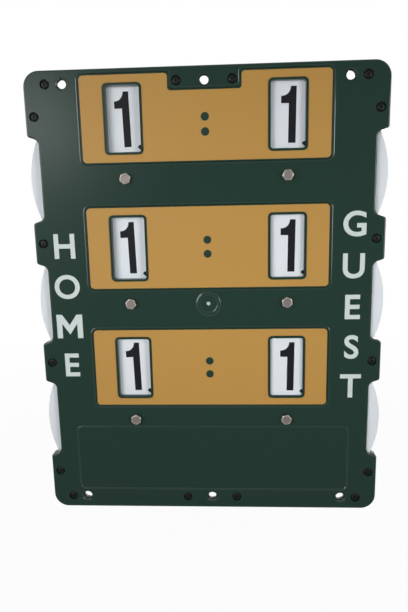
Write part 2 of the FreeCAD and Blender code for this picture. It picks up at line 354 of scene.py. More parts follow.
def edit(obj, kind):
    """Opens obj in edit mode with nothing selected, and returns its bmesh."""
    only(obj)
    bpy.ops.object.mode_set(mode="EDIT")
    bpy.ops.mesh.select_mode(type=kind)
    bpy.ops.mesh.select_all(action="DESELECT")
    return bmesh.from_edit_mesh(obj.data)


def leave():
    bpy.ops.object.mode_set(mode="OBJECT")


def pick(obj, kind, wanted):
    """Opens obj in edit mode with the points, edges or faces that wanted accepts selected."""
    mesh = edit(obj, kind)
    for part in {"VERT": mesh.verts, "EDGE": mesh.edges, "FACE": mesh.faces}[kind]:
        part.select = wanted(part)
    bmesh.update_edit_mesh(obj.data)
    return mesh


def pick_level(obj, level):
    """Opens obj in edit mode with its faces at a level selected."""
    pick(obj, "FACE", lambda face: all(abs(-v.co.y - level) < exact for v in face.verts))


def round_edges(obj, chosen, width, segments):
    """Bevels the edges whose two ends chosen accepts."""
    pick(obj, "EDGE", lambda edge: chosen(edge.verts[0].co, edge.verts[1].co))
    bpy.ops.mesh.bevel(offset=width, segments=segments, affect="EDGES")
    leave()


def along_y(a, b):
    """Whether an edge runs from front to back."""
    return abs(a.y - b.y) > touching and math.hypot(a.x - b.x, a.z - b.z) < exact


def flare(obj, level, stretch):
    """Widens the face of obj at a level by stretch on each side."""
    mesh = pick(obj, "VERT", lambda vertex: abs(-vertex.co.y - level) < exact)
    low, high = corners_of([vertex.co for vertex in mesh.verts if vertex.select])
    size = high - low
    ratio = (1 + 2 * stretch / size.x, 1, 1 + 2 * stretch / size.z)
    bpy.ops.transform.resize(value=ratio, center_override=(low + high) / 2)
    leave()
    return obj


def drawn_face(obj, level, run, rise):
    """Draws the face of obj at a level outwards by rise, narrower by run, with soft corners."""
    pick_level(obj, level)
    for run_share, rise_share in draw_shares:
        bpy.ops.mesh.inset(thickness=run * run_share, depth=rise * rise_share, use_even_offset=True)
    leave()
    return obj


def slab(name, x, z, width, height, corner, low, high):
    """Rounded rectangle between two levels."""
    left_low = at(x - width / 2, low, z - height / 2)
    obj = block(name, left_low, at(x + width / 2, high, z + height / 2))
    round_edges(obj, along_y, corner, slab_corner_steps)
    return obj


def applied(obj, kind, **settings):
    """Adds a modifier to obj and applies it."""
    modifier = obj.modifiers.new(kind.lower(), kind)
    for key, value in settings.items():
        setattr(modifier, key, value)
    only(obj)
    bpy.ops.object.modifier_apply(modifier=modifier.name)


def combine(obj, tools, operation="DIFFERENCE"):
    """Cuts tools out of obj, joins them to it or crosses them with it, and removes them."""
    for tool in tools:
        applied(obj, "BOOLEAN", operation=operation, solver="EXACT", object=tool)
        bpy.data.objects.remove(tool)
    return obj


def copied(obj, name):
    """Copy of obj with its own mesh."""
    other = obj.copy()
    other.data = obj.data.copy()
    other.name = name
    other.data.name = name
    bpy.context.collection.objects.link(other)
    return other


def joined(objects, name):
    """One object from many, each with its mesh unchanged."""
    deselect()
    for obj in objects:
        obj.select_set(True)
    bpy.context.view_layer.objects.active = objects[0]
    bpy.ops.object.join()
    objects[0].name = name
    return objects[0]


def finished(obj, material, body):
    """Smooths obj, gives it its material and lets it ride on a body."""
    only(obj)
    bpy.ops.object.shade_smooth_by_angle(angle=math.radians(smooth_angle))
    applied(obj, "WEIGHTED_NORMAL", keep_sharp=True, weight=face_weight)
    obj.data.materials.clear()
    obj.data.materials.append(material)
    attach(obj, body)
    return obj


def softened(obj, width=edge_round):
    """Merges stray points and rounds every sharp edge a little."""
    applied(obj, "WELD", merge_threshold=touching)
    limit = math.radians(sharp_angle)
    applied(obj, "BEVEL", width=width, segments=soft_steps, limit_method="ANGLE", angle_limit=limit)
    return obj


def turned(name, x, z, profile, steps=round_sides):
    """Round piece about Y from (radius, level) points that start and end on its axis."""
    deselect()
    bpy.ops.mesh.primitive_circle_add(vertices=len(profile), fill_type="NOTHING")
    obj = bpy.context.object
    mesh = edit(obj, "EDGE")
    for vertex, (radius, level) in zip(mesh.verts, profile):
        vertex.co = at(radius, level, 0)
    for edge in mesh.edges:
        edge.select = all(vertex.co.x == 0 for vertex in edge.verts)
    bmesh.update_edit_mesh(obj.data)
    bpy.ops.mesh.delete(type="EDGE")
    bpy.ops.mesh.select_all(action="SELECT")
    bpy.ops.mesh.spin(steps=steps, angle=2 * math.pi, center=(0, 0, 0), axis=(0, 1, 0))
    bpy.ops.mesh.select_all(action="SELECT")
    bpy.ops.mesh.remove_doubles(threshold=exact)
    bpy.ops.mesh.normals_make_consistent(inside=False)
    leave()
    obj.location = at(x, 0, z)
    return settle(obj, name)


# Geometry of the moulded covers


def screw_centres():
    """X and Z of the sixteen case screws."""
    edge_z = half_height - rim_inset
    side_x = half_width - side_screw_inset
    spots = [(half_width - corner_screw_inset, edge_z), (centre_screw_x, edge_z)]
    spots += [(side_x, half_height - side_screw_drop), (side_x, row_half_pitch)]
    return [(right * x, up * z) for right in (-1, 1) for up in (-1, 1) for x, z in spots]


def fixing_centres():
    """X and Z of the six fixing holes."""
    reach = half_width - fixing_inset
    return [(x, up * (half_height - rim_inset)) for x in (-reach, 0, reach) for up in (-1, 1)]


def notch_cutter(place):
    """Wedge that leaves a side notch, narrow at its floor and wide at its mouth."""
    x, z = pivot(place)
    right = math.copysign(1, x)
    floor_x = right * (half_width - notch_depth)
    mouth_x = floor_x + 2 * right * notch_depth
    spread = notch_mouth_half - notch_floor_half
    low = at(floor_x, -notch_depth, z - notch_floor_half)
    cutter = block("notch", low, at(mouth_x, depth + notch_depth, z + notch_floor_half))
    pick(cutter, "VERT", lambda vertex: abs(vertex.co.x - floor_x) > notch_depth)
    ratio = (notch_floor_half + 2 * spread) / notch_floor_half
    bpy.ops.transform.resize(value=(1, 1, ratio), center_override=(mouth_x, -depth / 2, z))
    leave()
    width = notch_floor_corner * math.tan(math.atan2(notch_depth, spread) / 2)

    def at_floor(a, b):
        return along_y(a, b) and abs(a.x - floor_x) < touching

    round_edges(cutter, at_floor, width, inner_corner_steps)
    return cutter


def casing():
    """Solid board with its notches and its rounded front and back edges."""
    board = block("casing", board_low, board_high)
    mouths = [pivot(place)[1] + side * notch_mouth_half for place in places for side in (-1, 1)]
    turn = math.atan2(notch_depth, notch_mouth_half - notch_floor_half)

    def at_corner(a, b):
        return along_y(a, b) and abs(abs(a.z) - half_height) < touching

    def at_mouth(a, b):
        at_side = along_y(a, b) and abs(abs(a.x) - half_width) < touching
        return at_side and min(abs(a.z - z) for z in mouths) < touching

    round_edges(board, at_corner, board_corner, board_corner_steps)
    combine(board, [joined([notch_cutter(place) for place in places], "notches")])
    applied(board, "WELD", merge_threshold=touching)
    round_edges(board, at_mouth, notch_mouth_corner * math.tan(turn / 2), round_steps)
    round_edges(board, lambda a, b: max(a.y, b.y) < touching - depth, front_round, round_steps)
    round_edges(board, lambda a, b: min(a.y, b.y) > -touching, back_round, back_round_steps)
    return board


def seam_cutters(front):
    """Blocks that take away the other cover, and step round the slot of each disc."""
    reach = half_width + half_height
    low, high = (-depth, seam_level) if front else (seam_level, 2 * depth)
    whole = block("seam", at(-reach, low, -reach), at(reach, high, reach))
    zones = []
    steps = []
    for place in places:
        x, z = pivot(place)
        back_face, front_face = faces_of(place)
        right = math.copysign(1, x)
        near = right * (half_width - notch_depth - wall - front_round)
        far = right * (half_width + notch_depth)
        foot, head = z - notch_mouth_half, z + notch_mouth_half
        zones.append(block("zone", at(near, -2 * depth, foot), at(far, 3 * depth, head)))
        ends = (low, front_face + slot_gap) if front else (back_face - slot_gap, high)
        steps.append(block("step", at(near, ends[0], foot), at(far, ends[1], head)))
    return [combine(whole, [joined(zones, "zones")]), joined(steps, "steps")]


def slots():
    """Disc-shaped cutters that keep both covers clear of the discs."""
    middle_row = []
    outer_rows = []
    for place in places:
        x, z = pivot(place)
        back_face, front_face = faces_of(place)
        low, high = disc_boxes[place]
        radius = (high.x - low.x) / 2 + slot_reach
        group = middle_row if place[1] == rows[1] else outer_rows
        ends = (back_face - slot_gap, front_face + slot_gap)
        group.append(rod("slot", x, z, radius, *ends, slot_sides))
    return [joined(middle_row, "slots"), joined(outer_rows, "slots")]


def cavity():
    """Hollow between the two covers, where the discs lie."""
    reach = half_width - notch_depth - wall
    top = half_height - wall
    return block("cavity", at(-reach, wall, -top), at(reach, depth - wall, top))


def panel_outline(row, name, grow, low, high):
    """Outline of a score panel as a slab, grown on every side. The top one has its bridge notch."""
    box_low, box_high = panel_boxes[row]
    x = (box_low.x + box_high.x) / 2
    z = (box_low.z + box_high.z) / 2
    width = box_high.x - box_low.x + 2 * grow
    height = box_high.z - box_low.z + 2 * grow
    obj = slab(name, x, z, width, height, panel_corner + grow, low, high)
    if row == rows[0]:
        notch_z = box_high.z + grow
        notch_size = (2 * (bridge_half - grow), 2 * bridge_drop)
        notch_ends = (low - depth, high + depth)
        combine(obj, [slab("bridge", x, notch_z, *notch_size, bridge_corner, *notch_ends)])

        def at_corner(a, b):
            near_top = abs(a.z - z - height / 2) < touching
            return near_top and along_y(a, b) and abs(abs(a.x) - bridge_half + grow) < touching

        round_edges(obj, at_corner, bridge_corner, inner_corner_steps)
    return obj


def window_slab(place, name, grow, low, high):
    """Outline of a window as a slab, grown on every side."""
    x, z = pivot(place)
    width, height = (size + 2 * grow for size in window_size)
    return slab(name, x, z + window_rise, width, height, window_corner + grow, low, high)


def recess_rim(row):
    """Low raised rim round a panel recess, before the recess is cut."""
    grow = recess_ledge + recess_slope + rim_top + rim_slope
    rim = panel_outline(row, "rim", grow, depth - wall / 2, depth)
    return drawn_face(rim, depth, rim_slope, rim_height)


def recess_cutter(row):
    """Panel recess with sloping edges, which leaves the window lips standing."""
    floor = depth - recess_depth
    mouth = depth + rim_height
    cutter = panel_outline(row, "recess", recess_ledge + recess_slope, mouth, depth + wall)
    drawn_face(cutter, mouth, recess_slope, recess_depth + rim_height)
    ends = (floor - wall, depth + wall)
    return combine(cutter, [window_slab((side, row), "lip", lip_width, *ends) for side in sides])


def name_place():
    """Shallow recess under the bottom row, left bare, and the low raised rim round it."""
    low_z = -half_height + plate_end_inset
    high_z = pivot(places[2])[1] - plate_top_drop
    width = 2 * (half_width - plate_side_inset)
    height = high_z - low_z
    z = (low_z + high_z) / 2
    mouth = depth + rim_height
    cutter = slab("name_place", 0, z, width, height, plate_corner, mouth, depth + wall)
    drawn_face(cutter, mouth, plate_slope, plate_depth + rim_height)
    over = rim_top + rim_slope
    size = (width + 2 * over, height + 2 * over)
    rim = slab("rim", 0, z, *size, plate_corner + over, depth - wall / 2, depth)
    return cutter, drawn_face(rim, depth, rim_slope, rim_height)


def sectioned(name, x, z, section, steps):
    """Round piece from a section with heights above the cover's face in millimetres."""
    points = [(radius / mm_per_m, depth + height / mm_per_m) for radius, height in section]
    return turned(name, x, z, points, steps)


def front_cover():
    """Front cover with its window tunnels, recesses, cups and holes."""
    cover = combine(casing(), seam_cutters(True))
    combine(cover, [cavity()])
    inside = depth - wall / 2
    over = depth + wall
    pads = []
    for place in places:
        x, z = pivot(place)
        top = faces_of(place)[1]
        pads.append(window_slab(place, "tunnel", tunnel_wall, top + tunnel_gap, inside))
        pads.append(rod("boss", x, z, pivot_boss_radius, top + slot_gap, inside))
    cup_size = (cup_radius + tunnel_wall, cup_level - cup_floor, inside, screw_sides)
    pads += rods("cup_wall", screw_centres(), *cup_size)
    pads += rods("tube", fixing_centres(), fixing_tube_radius, 0, inside)
    plate, plate_rim = name_place()
    rims = [recess_rim(row) for row in rows] + [plate_rim]
    combine(cover, [joined(pads, "pads"), joined(rims, "rims")], "UNION")
    combine(cover, slots())
    cutters = [recess_cutter(row) for row in rows]
    for place in places:
        x, z = pivot(place)
        top = faces_of(place)[1]
        window = window_slab(place, "window", 0, top, over)
        cutters.append(flare(window, top, -window_flare))
        cutters.append(rod("bolt_hole", x, z, bolt_radius + bolt_gap, top - wall, over))
    cutters += rods("cup", screw_centres(), cup_radius, cup_level, over)
    shank_radius = screw_shank_radius + shank_gap
    shank_holes = rods("shank_hole", screw_centres(), shank_radius, 0, depth, hole_sides)
    for x, z in fixing_centres():
        cutters.append(sectioned("fixing_hole", x, z, fixing_section, bore_sides))
    cutters.append(plate)
    gate = sectioned("gate", 0, -gate_drop, gate_section, gate_sides)
    bead = sectioned("gate_bead", 0, -gate_drop, bead_section, gate_sides)
    combine(cover, [joined(cutters, "cutters"), joined(shank_holes, "shank_holes"), gate])
    combine(cover, [bead], "UNION")
    cover.name = "front_cover_moulding"
    return cover


def back_cover():
    """Back cover with its nut pockets, bosses and holes."""
    cover = combine(casing(), seam_cutters(False))
    combine(cover, [cavity()])
    pads = []
    for place in places:
        top = faces_of(place)[0] - slot_gap
        pads.append(rod("boss", *pivot(place), pivot_boss_radius, wall / 2, top))
    post_top = cup_level - cup_floor
    pads += rods("post", screw_centres(), post_radius, wall / 2, post_top, screw_sides)
    combine(cover, [joined(pads, "pads")], "UNION")
    combine(cover, slots())
    pocket_radius = (bolt_flats / 2 + bolt_gap) / flat_share
    cutters = rods("pocket", map(pivot, places), pocket_radius, -wall, nut_height, hexagon)
    bolt_holes = []
    for place in places:
        top = faces_of(place)[0] + wall
        bolt_holes.append(rod("bolt_hole", *pivot(place), bolt_radius + bolt_gap, 0, top))
    pilot_ends = (screw_tip_level - pilot_end_gap, depth)
    pilot_radius = screw_shank_radius + pilot_gap
    cutters += rods("pilot", screw_centres(), pilot_radius, *pilot_ends, hole_sides)
    tube_radius = fixing_tube_radius + fixing_tube_gap
    cutters += rods("fixing_hole", fixing_centres(), tube_radius, -wall, depth + wall)
    combine(cover, [joined(cutters, "cutters"), joined(bolt_holes, "bolt_holes")])
    cover.name = "back_cover_moulding"
    return cover


# Pieces on the board


def score_panel(row):
    """Thin panel with an opening round each window lip."""
    low = depth - recess_depth
    top = -panel_boxes[row][0].y
    panel = panel_outline(row, "score_panel_%s_sheet" % row, 0, low, top)
    grow = lip_width + panel_gap
    ends = (low - wall, top + wall)
    combine(panel, [window_slab((side, row), "opening", grow, *ends) for side in sides])
    return softened(panel, panel_edge_round)


def number_disc(place):
    """Flat disc with a rounded rim and its bearing hole."""
    x, z = pivot(place)
    level, top = faces_of(place)
    low, high = disc_boxes[place]
    name = "number_disc_%s_%s_sheet" % place
    disc = rod(name, x, z, (high.x - low.x) / 2, level, top, disc_sides)
    bore = rod("bore", x, z, disc_bore_radius, level - wall, top + wall, bore_sides)
    combine(disc, [bore])
    return softened(disc, disc_edge_round)


def face_map(obj):
    """Gives obj a UV map that measures metres from its own axis along X and Z."""
    layers = obj.data.uv_layers
    layer = layers[0] if layers else layers.new()
    layer.name = face_map_name
    for loop in obj.data.loops:
        place = obj.data.vertices[loop.vertex_index].co
        layer.data[loop.index].uv = (place.x, place.z)
    return obj


def placed(model, name, centres, turns):
    """One piece from copies of a model, each turned about its axis and moved to its centre."""
    copies = []
    for (x, z), turn in zip(centres, turns):
        piece = copied(model, name)
        piece.rotation_euler = (0, turn, 0)
        piece.location = at(x, 0, z)
        copies.append(settle(piece, name))
    bpy.data.objects.remove(model)
    return joined(copies, name)


def chamfered(obj, face, inward):
    """Cuts the corners of a hexagon at a level by a cone that narrows to its flats there."""
    radius = bolt_flats / 2 - bolt_chamfer
    wide = radius + chamfer_reach / math.tan(math.radians(chamfer_angle))
    if inward > 0:
        cone = rod("cone", 0, 0, wide, face - chamfer_reach, face, gate_sides, radius)
    else:
        cone = rod("cone", 0, 0, radius, face, face + chamfer_reach, gate_sides, wide)
    combine(obj, [cone], "INTERSECT")


def ridges(radius, low, high, cut, pitch):
    """Outline points of a screw's thread, from its high end to its low end."""
    points = []
    level = high
    while level > low + pitch:
        points.append((radius, level - pitch * thread_crest))
        points.append((radius - cut, level - pitch * thread_root))
        level -= pitch
    return points


def pivot_bolts():
    """Hexagon-head screws: a dished head with a turned chamfer on a washer face, and a thread."""
    top = depth + bolt_head_height
    face = depth + bolt_face_height
    head = rod("head", 0, 0, hexagon_corner, face, top, hexagon)
    chamfered(head, top, 1)
    pick_level(head, top)
    bpy.ops.mesh.inset(thickness=bolt_rim_width, depth=0)
    bpy.ops.mesh.inset(thickness=bolt_dish_depth, depth=-bolt_dish_depth)
    leave()
    softened(head, hexagon_round)
    sunk = face + bolt_face_sink
    profile = [(0, sunk), (bolt_face_radius, sunk)]
    profile += [(bolt_face_radius, depth), (bolt_radius, depth)]
    profile += ridges(bolt_radius, bolt_thread_end, seam_level, **bolt_thread)
    profile += [(bolt_radius, bolt_point), (bolt_radius - bolt_point, 0), (0, 0)]
    bolt = face_map(joined([head, turned("shank", 0, 0, profile)], "bolt"))
    turns = [math.radians(turn) for turn in bolt_turns]
    return placed(bolt, "hexagon_bolts", map(pivot, places), turns)


def pivot_nuts():
    """Thin hexagon nuts with both faces chamfered."""
    nut = rod("nut", 0, 0, hexagon_corner, nut_back, nut_height, hexagon)
    chamfered(nut, nut_height, 1)
    chamfered(nut, nut_back, -1)
    combine(nut, [rod("bore", 0, 0, bolt_radius + nut_play, -wall, nut_height + wall)])
    wide = bolt_radius + 2 * nut_countersink
    flares = []
    for face, ends in ((0, (wide, bolt_radius)), (nut_height, (bolt_radius, wide))):
        low, high = face - nut_countersink, face + nut_countersink
        flares.append(rod("countersink", 0, 0, ends[0], low, high, top_radius=ends[1]))
    combine(nut, flares)
    softened(nut, hexagon_round)
    turns = [math.pi / hexagon] * len(places)
    return placed(face_map(nut), "hexagon_nuts", map(pivot, places), turns)


def case_screws():
    """Round-head screws with a hexagon socket."""
    low = cup_level
    top = low + screw_head_height
    edge = screw_head_radius
    tip = screw_tip_level
    profile = [(edge * share, top - drop) for share, drop in screw_dome]
    profile += [(edge, low + screw_round), (edge - screw_round, low), (screw_shank_radius, low)]
    profile += ridges(screw_shank_radius, tip + screw_thread_end, low - screw_neck, **screw_thread)
    profile += [(screw_shank_radius, tip + screw_tip_height), (screw_tip_radius, tip), (0, tip)]
    screw = turned("screw", 0, 0, profile, screw_sides)
    socket_radius = socket_flats / 2 / flat_share
    combine(screw, [rod("socket", 0, 0, socket_radius, top - socket_depth, top + wall, hexagon)])
    softened(screw, screw_round)
    centres = screw_centres()
    turns = [index * screw_turn_step for index in range(len(centres))]
    return placed(face_map(screw), "socket_screws", centres, turns)


# Print


def outline(name, points):
    """Flat many-cornered face in the XZ plane."""
    deselect()
    bpy.ops.mesh.primitive_circle_add(vertices=len(points), fill_type="NGON")
    obj = bpy.context.object
    mesh = edit(obj, "VERT")
    for vertex, (x, z) in zip(mesh.verts, points):
        vertex.co = at(x, 0, z)
    bmesh.update_edit_mesh(obj.data)
    leave()
    obj.name = name
    return obj


def open_whole(obj):
    """Opens obj in edit mode with everything selected."""
    only(obj)
    bpy.ops.object.mode_set(mode="EDIT")
    bpy.ops.mesh.select_all(action="SELECT")


def written(character):
    """Flat face of one character of the built-in alphabet, on the X axis."""
    deselect()
    bpy.ops.object.text_add(rotation=(math.pi / 2, 0, 0))
    text = bpy.context.object
    text.data.body = character
    text.data.offset = letter_boldness
    text.data.resolution_u = letter_steps
    bpy.ops.object.convert(target="MESH")
    obj = settle(bpy.context.object, "character")
    open_whole(obj)
    bpy.ops.mesh.remove_doubles(threshold=curve_weld)
    leave()
    return obj


def fitted(obj, height, squeeze=1.0, foot=0.0):
    """Scales a flat character to a height, squeezes its width and stands it on foot, over X = 0."""
    low, high = corners_of([vertex.co for vertex in obj.data.vertices])
    scale = height / (high.z - low.z)
    for vertex in obj.data.vertices:
        across = (vertex.co.x - (low.x + high.x) / 2) * scale * squeeze
        vertex.co = at(across, 0, (vertex.co.z - low.z) * scale + foot)
    return obj


def drawn_digit(name, points):
    """Flat face from an outline in millimetres, above the disc's centre."""
    return outline(name, [(x / mm_per_m, z / mm_per_m + digit_foot) for x, z in points])


def digit_four():
    """Digit 4 with its three-cornered eye."""
    four = drawn_digit("four", four_outline)
    eye = drawn_digit("eye", four_eye)
    applied(four, "SOLIDIFY", thickness=print_thickness, offset=0)
    applied(eye, "SOLIDIFY", thickness=wall, offset=0)
    return combine(four, [eye])


def letter_m():
    """Letter M, which the built-in alphabet closes up when it is bold."""
    width, stroke, lean = 1.08, 0.225, 1.05
    shoulder, valley, valley_rise = 0.384, 0.16, 0.40
    half = [(0, 0), (stroke, 0), (stroke, 1 - shoulder), (width / 2, valley)]
    top = [(width, 1), (width - stroke * lean, 1), (width / 2, valley + valley_rise)]
    top += [(stroke * lean, 1), (0, 1)]
    return outline("letter", half + [(width - x, z) for x, z in reversed(half[:3])] + top)


def thick(obj):
    """Gives a flat character the thickness of its ink."""
    if max(vertex.co.y for vertex in obj.data.vertices) < exact:
        applied(obj, "SOLIDIFY", thickness=print_thickness, offset=0)
    open_whole(obj)
    bpy.ops.mesh.normals_make_consistent(inside=False)
    leave()


def digits():
    """The numbers of one disc round its centre, in the plane Y = 0."""
    models = []
    for value in range(digit_count):
        if value == 1:
            model = drawn_digit("one", one_outline)
        elif value == 4:
            model = digit_four()
        else:
            model = fitted(written(str(value)), digit_height, digit_squeeze, digit_foot)
        thick(model)
        model.rotation_euler = (0, math.radians(360 / digit_count) * (value - 1), 0)
        models.append(settle(model, "digit"))
    return joined(models, "digits")


def disc_print(place, model):
    """Numbers on the front of a disc."""
    x, z = pivot(place)
    piece = copied(model, "numbers_%s_%s" % place)
    piece.rotation_euler = (0, math.radians(disc_rest_turn[place[0]]), 0)
    piece.location = at(x, faces_of(place)[1] + print_lift, z)
    return settle(piece, piece.name)


def word(text, side):
    """Letters of a word, one under the other."""
    letters = []
    right = math.copysign(1, pivot((side, rows[0]))[0])
    middle = (len(text) - 1) / 2
    for index, character in enumerate(text):
        letter = letter_m() if character == "M" else written(character)
        thick(fitted(letter, letter_height))
        z = letter_z[side] + (middle - index) * letter_pitch - letter_height / 2
        letter.location = at(right * letter_x, depth + print_lift, z)
        letters.append(settle(letter, "letter"))
    return joined(letters, "word_" + side)


def colon_dots():
    """Two round dots in the middle of each score panel."""
    dots = []
    for row in rows:
        level = -panel_boxes[row][0].y
        ends = (level - dot_sink, level + print_thickness)
        for up in (-1, 1):
            z = dot_rise[row] + up * dot_half_gap
            dots.append(rod("dot", 0, z, dot_radius, *ends, bore_sides))
    return joined(dots, "colon_dots")


# Shared effects


def colour(red, green, blue):
    """Linear colour from the 0 to 255 values that it shows as."""
    shown = Color((red / 255, green / 255, blue / 255))
    return (*shown.from_srgb_to_scene_linear(), 1)


def effect(name, **inputs):
    """New node group, and the sockets of its inputs, which are named and have defaults."""
    group = bpy.data.node_groups.new(name, "ShaderNodeTree")
    for label, value in inputs.items():
        socket = group.interface.new_socket(label, in_out="INPUT", socket_type=socket_kind)
        socket.default_value = value
    return group, group.nodes.new("NodeGroupInput").outputs


def gives(group, **results):
    """Leads results to a node group's named outputs."""
    for label in results:
        group.interface.new_socket(label, in_out="OUTPUT", socket_type=socket_kind)
    end = group.nodes.new("NodeGroupOutput")
    for label, result in results.items():
        group.links.new(result, end.inputs[label])


def add(tree, kind, inputs=None, **settings):
    """New shader node with its settings, and its inputs linked to sockets or set to constants."""
    node = tree.nodes.new("ShaderNode" + kind)
    for key, value in settings.items():
        setattr(node, key, value)
    for key, value in (inputs or {}).items():
        if isinstance(value, bpy.types.NodeSocket):
            tree.links.new(value, node.inputs[key])
        else:
            node.inputs[key].default_value = value
    return node


def maths(tree, operation, *values, clamp=False):
    """Result of a Math node whose inputs are sockets or numbers."""
    inputs = dict(enumerate(values))
    return add(tree, "Math", inputs, operation=operation, use_clamp=clamp).outputs[0]


def mixed(tree, share, first, second):
    """Colour between two colours that are sockets or constants."""
    inputs = {mix_share: share, mix_first: first, mix_second: second}
    return add(tree, "Mix", inputs, data_type="RGBA").outputs[mix_result]


def noise(tree, place, scale, detail, stretch=(1, 1, 1)):
    """Noise from 0 to 1 at a number of cells a metre."""
    spot = add(tree, "Mapping", {"Vector": place, "Scale": stretch}).outputs[0]
    inputs = {"Vector": spot, "Scale": scale, "Detail": detail}
    return add(tree, "TexNoise", inputs).outputs["Fac"]


def object_place(tree):
    """Place of a surface point in the object's own space."""
    return add(tree, "TexCoord").outputs["Object"]


def distance(tree, place, centre=(0, 0, 0)):
    """Distance of a place from a centre."""
    inputs = {0: place, 1: centre}
    return add(tree, "VectorMath", inputs, operation="DISTANCE").outputs["Value"]


def from_axis(tree):
    """Distance from a piece's own axis, as its face map has it."""
    return distance(tree, add(tree, "UVMap", uv_map=face_map_name).outputs["UV"])


def ramp(tree, value, start, width):
    """0 up to start, 1 from start + width on, and a straight rise between."""
    return maths(tree, "DIVIDE", maths(tree, "SUBTRACT", value, start), width, clamp=True)


def moulded_grain_effect():
    """Fine grain of a moulded or rolled surface, and slow changes of tone across it."""
    group, start = effect("moulded grain", Grain=grain_cells, Cloud=cloud_cells)
    place = object_place(group)
    fine = noise(group, place, start["Grain"], grain_detail)
    slow = noise(group, place, start["Cloud"], cloud_detail)
    tone = maths(group, "MULTIPLY_ADD", slow, cloud_contrast, cloud_lift, clamp=True)
    gives(group, Height=fine, Tone=tone)


def scuffs_effect():
    """Thin scattered rubs that run mostly across, as from handling and wiping."""
    group, start = effect("scuffs", Amount=0.5)
    place = object_place(group)
    lines = noise(group, place, scuff_cells, scuff_detail, scuff_stretch)
    patches = noise(group, place, scuff_patch_cells, scuff_patch_detail)
    thin = maths(group, "SUBTRACT", lines, scuff_start, clamp=True)
    where = maths(group, "SUBTRACT", patches, scuff_patch_start, clamp=True)
    both = maths(group, "MULTIPLY", maths(group, "MULTIPLY", thin, where), scuff_gain)
    gives(group, Mask=maths(group, "MULTIPLY", both, start["Amount"], clamp=True))


def turned_rings_effect():
    """Fine rings about a piece's own axis, as a lathe or a die leaves them."""
    group, start = effect("turned rings", Pitch=ring_pitch)
    wave = maths(group, "SINE", maths(group, "MULTIPLY", from_axis(group), start["Pitch"]))
    gives(group, Height=maths(group, "MULTIPLY", wave, ring_height))


def slopes_effect():
    """Mask of the slopes beside the flat front, which are polished in the mould."""
    group, start = effect("slopes", Start=slope_start, Width=slope_width)
    normal = add(group, "TexCoord").outputs["Normal"]
    front_part = add(group, "SeparateXYZ", {0: normal}).outputs["Y"]
    slope = maths(group, "SUBTRACT", 1.0, maths(group, "ABSOLUTE", front_part))
    gives(group, Mask=ramp(group, slope, start["Start"], start["Width"]))


def worn_rim_effect():
    """Mask of the outer rim of a head or nut, which is painted lighter: a painted highlight where
    the rim catches the light.
    """
    rim_start = bolt_flats / 2 - bolt_rim_width - bolt_dish_depth
    group, start = effect("painted rim highlight", Radius=rim_start, Softness=bolt_rim_width)
    gives(group, Mask=ramp(group, from_axis(group), start["Radius"], start["Softness"]))


def cut_mark_effect():
    """Mask of the small dome in the middle of the gate mark, which is painted light: a painted
    highlight of the dome catching the light.
    """
    group, start = effect("painted gate highlight", Radius=gate_dome_radius, Softness=painted_gate_highlight_soft)
    away = distance(group, object_place(group), at(0, depth, -gate_drop))
    gives(group, Mask=ramp(group, start["Radius"], away, start["Softness"]))


def with_effect(tree, name, **values):
    """Outputs of a shared effect, placed in a material with its own values."""
    return add(tree, "Group", values, node_tree=bpy.data.node_groups[name]).outputs


# Materials


def finish_material(
    name, light, dark, roughness, rough_spread, bump,
    metallic=0.0, grain=grain_cells, scuff=0.4, rings=False, shine=0.5, polish=0.0,
):
    """Material with two tones of a colour, a grained surface and light scuffs."""
    material = bpy.data.materials.new(name)
    material.use_nodes = True
    material.diffuse_color = colour(*light)
    tree = material.node_tree
    shader = tree.nodes["Principled BSDF"].inputs
    shader["Metallic"].default_value = metallic
    shader["Specular IOR Level"].default_value = shine
    surface = with_effect(tree, "moulded grain", Grain=grain)
    rubbed = with_effect(tree, "scuffs", Amount=scuff)["Mask"]
    tone = mixed(tree, surface["Tone"], colour(*dark), colour(*light))
    tree.links.new(tone, shader["Base Color"])
    level = roughness - rough_spread / 2
    rough = maths(tree, "MULTIPLY_ADD", surface["Height"], rough_spread, level)
    worn = maths(tree, "MULTIPLY_ADD", rubbed, scuff_roughness, rough, clamp=True)
    if polish > 0:
        slopes = with_effect(tree, "slopes")["Mask"]
        shader["Coat Roughness"].default_value = polished_roughness
        tree.links.new(maths(tree, "MULTIPLY", slopes, polish), shader["Coat Weight"])
        smoother = polished_roughness - roughness
        worn = maths(tree, "MULTIPLY_ADD", slopes, smoother, worn, clamp=True)
    tree.links.new(worn, shader["Roughness"])
    if rings:
        lathe = with_effect(tree, "turned rings")["Height"]
        height = maths(tree, "ADD", surface["Height"], lathe)
    else:
        height = maths(tree, "SUBTRACT", surface["Height"], rubbed)
    inputs = {"Strength": bump, "Distance": relief_distance, "Height": height}
    tree.links.new(add(tree, "Bump", inputs).outputs[0], shader["Normal"])
    return material


def overlaid(material, mask_name, over):
    """Lays a colour over a material's own where an effect's mask says."""
    tree = material.node_tree
    base = tree.nodes["Principled BSDF"].inputs["Base Color"]
    mask = with_effect(tree, mask_name)["Mask"]
    tree.links.new(mixed(tree, mask, base.links[0].from_socket, colour(*over)), base)


def seen_rays(tree, path):
    """1 for the rays by which the background is seen, straight, mirrored or through glass."""
    rays = maths(tree, "MAXIMUM", path["Is Camera Ray"], path["Is Glossy Ray"])
    return maths(tree, "MAXIMUM", rays, path["Is Transmission Ray"])


def mixed_shaders(tree, share, first, second, output):
    """Leads a mix of two shaders to a material's or world's output."""
    inputs = {0: share, 1: first.outputs[0], 2: second.outputs[0]}
    add(tree, output, {"Surface": add(tree, "MixShader", inputs).outputs[0]})


